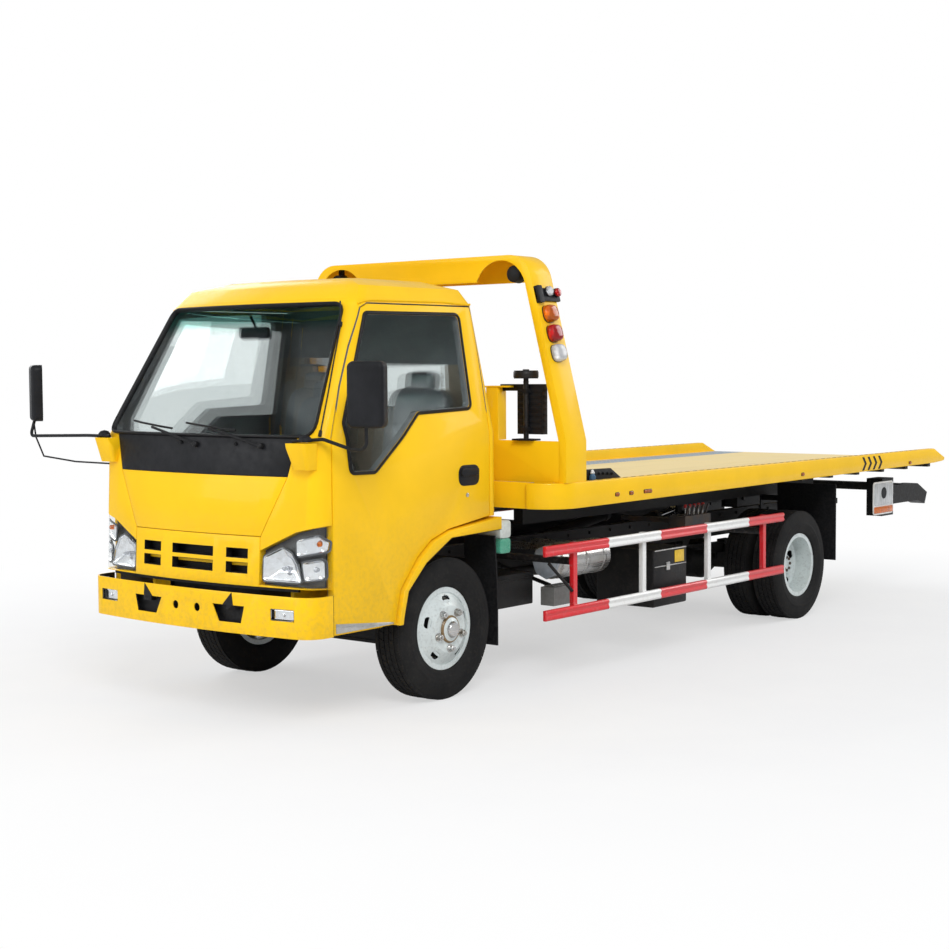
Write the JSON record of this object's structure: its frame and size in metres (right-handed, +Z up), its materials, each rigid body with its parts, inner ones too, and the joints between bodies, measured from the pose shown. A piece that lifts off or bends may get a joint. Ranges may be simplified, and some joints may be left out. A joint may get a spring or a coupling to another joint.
{
  "type": "flatbed tow truck",
  "caption": "Two-axle tow truck with a tilting cab, a flat bed that tilts and slides, a winch, a front arch and a rear under-lift.",
  "frame": {"origin": "on the ground under the middle of the front axle", "axes": "+X to the truck's left, +Y to its rear, +Z up"},
  "size_m": [2.7883, 7.15, 2.45],
  "materials": {
    "body_yellow": "gloss",
    "frame_black": "satin",
    "tyre_black": "matt",
    "wheel_silver": "satin",
    "window_glass": "clear",
    "lamp_clear": "clear",
    "trim_black": "textured",
    "seat_grey": "woven",
    "deck_cream": "satin",
    "guard_red_white": "gloss",
    "bright_metal": "brushed",
    "cast_grey": "cast"
  },
  "bodies": {
    "chassis": {"frame_rails": "frame_black", "cross_members": "frame_black", "engine": "cast_grey", "propeller_shaft": "frame_black", "leaf_springs": "frame_black", "front_axle": "frame_black", "rear_axle": "frame_black", "bumper": "body_yellow", "fog_lamps": "lamp_clear", "side_guards": "guard_red_white", "silencer": "bright_metal", "tool_box": "frame_black", "fuel_tank": "frame_black", "valve_block": "cast_grey", "mud_flaps": "trim_black"},
    "cab": {"cab_roof": "body_yellow", "cab_rear_wall": "body_yellow", "screen_frame": "body_yellow", "front_panels": "body_yellow", "cowl": "trim_black", "headlamps": "lamp_clear", "cab_glass": "window_glass", "cab_floor": "body_yellow", "wheel_arches": "body_yellow", "seats": "seat_grey", "dashboard": "trim_black", "mirrors": "trim_black"},
    "left_door": {"door_left": "body_yellow", "door_glass_left": "window_glass"},
    "right_door": {"door_right": "body_yellow", "door_glass_right": "window_glass"},
    "left_knuckle": {"knuckle_left": "cast_grey"},
    "right_knuckle": {"knuckle_right": "cast_grey"},
    "steering_rod": {"tie_rod": "frame_black"},
    "steering_control": {"steering_wheel": "trim_black"},
    "front_wheel_left": {"tyre_front_left": "tyre_black", "rim_front_left": "wheel_silver"},
    "front_wheel_right": {"tyre_front_right": "tyre_black", "rim_front_right": "wheel_silver"},
    "rear_wheels_left": {"tyres_rear_left": "tyre_black", "rims_rear_left": "wheel_silver"},
    "rear_wheels_right": {"tyres_rear_right": "tyre_black", "rims_rear_right": "wheel_silver"},
    "tilting_frame": {"tilt_frame": "frame_black", "underlift_tube": "frame_black"},
    "cylinder_barrels": {"tilt_barrels": "frame_black"},
    "cylinder_rods": {"tilt_rods": "bright_metal"},
    "bed": {"bed_deck": "deck_cream", "bed_rails": "body_yellow", "arch": "body_yellow", "arch_lamps": "lamp_clear", "headboard": "body_yellow", "hand_screw": "trim_black", "winch_frame": "frame_black"},
    "winch": {"winch_drum": "bright_metal"},
    "lift_slide": {"underlift_slide": "frame_black"},
    "lift_crossbar": {"underlift_crossbar": "frame_black"}
  },
  "joints": [
    {"name": "cab_tilt", "type": "hinge", "parent": "chassis", "child": "cab", "pos_m": [0, -0.985, 0.776], "axis": [1, 0, 0], "range_deg": [0, 45]},
    {"name": "door_left_swing", "type": "hinge", "parent": "cab", "child": "left_door", "pos_m": [0.84, -0.928, 1.2], "axis": [0, 0, -1], "range_deg": [0, 70]},
    {"name": "door_right_swing", "type": "hinge", "parent": "cab", "child": "right_door", "pos_m": [-0.84, -0.928, 1.2], "axis": [0, 0, 1], "range_deg": [0, 70]},
    {"name": "steer_left", "type": "hinge", "parent": "chassis", "child": "left_knuckle", "pos_m": [0.61, 0, 0.3875], "axis": [0, 0, 1], "range_deg": [-35, 35]},
    {"name": "steer_right", "type": "hinge", "parent": "chassis", "child": "right_knuckle", "pos_m": [-0.61, 0, 0.3875], "axis": [0, 0, 1], "range_deg": [-35, 35]},
    {"name": "tie_rod_slide", "type": "slide", "parent": "chassis", "child": "steering_rod", "axis": [1, 0, 0], "range_m": [-0.092, 0.092]},
    {"name": "steering_wheel_turn", "type": "hinge", "parent": "cab", "child": "steering_control", "pos_m": [0.4, -0.56, 1.33], "axis": [0, 0.5269, 0.8499], "range_deg": [-491, 491]},
    {"name": "wheel_front_left", "type": "hinge", "parent": "left_knuckle", "child": "front_wheel_left", "pos_m": [0.709, 0, 0.3875], "axis": [1, 0, 0], "continuous": true},
    {"name": "wheel_front_right", "type": "hinge", "parent": "right_knuckle", "child": "front_wheel_right", "pos_m": [-0.709, 0, 0.3875], "axis": [1, 0, 0], "continuous": true},
    {"name": "wheels_rear_left", "type": "hinge", "parent": "chassis", "child": "rear_wheels_left", "pos_m": [0.736, 3.815, 0.3875], "axis": [1, 0, 0], "continuous": true},
    {"name": "wheels_rear_right", "type": "hinge", "parent": "chassis", "child": "rear_wheels_right", "pos_m": [-0.736, 3.815, 0.3875], "axis": [1, 0, 0], "continuous": true},
    {"name": "bed_tilt", "type": "hinge", "parent": "chassis", "child": "tilting_frame", "pos_m": [0, 4.8, 0.815], "axis": [-1, 0, 0], "range_deg": [0, 13]},
    {"name": "tilt_cylinder_turn", "type": "hinge", "parent": "chassis", "child": "cylinder_barrels", "pos_m": [0, 2.23, 0.64], "axis": [1, 0, 0], "range_deg": [-0.5, 16.5]},
    {"name": "tilt_cylinder_stroke", "type": "slide", "parent": "cylinder_barrels", "child": "cylinder_rods", "axis": [0, 0.9903, 0.1388], "range_m": [-0.002, 0.115]},
    {"name": "bed_slide", "type": "slide", "parent": "tilting_frame", "child": "bed", "axis": [0, 1, 0], "range_m": [0, 3.2]},
    {"name": "winch_turn", "type": "hinge", "parent": "bed", "child": "winch", "pos_m": [0, 1.08, 1.19], "axis": [1, 0, 0], "continuous": true},
    {"name": "underlift_reach", "type": "slide", "parent": "tilting_frame", "child": "lift_slide", "axis": [0, 1, 0], "range_m": [0, 0.8]},
    {"name": "crossbar_swivel", "type": "hinge", "parent": "lift_slide", "child": "lift_crossbar", "pos_m": [0, 5.53, 0.848], "axis": [0, 0, 1], "range_deg": [-30, 30]}
  ],
  "couplings": [
    {"joint": "steer_right", "follows": "steer_left", "ratio": 1},
    {"joint": "tie_rod_slide", "follows": "steer_left", "m_per_rad": -0.15},
    {"joint": "steering_wheel_turn", "follows": "steer_left", "ratio": 14},
    {"joint": "tilt_cylinder_turn", "follows": "bed_tilt", "ratio": 1.252},
    {"joint": "tilt_cylinder_stroke", "follows": "bed_tilt", "m_per_rad": 0.492}
  ]
}
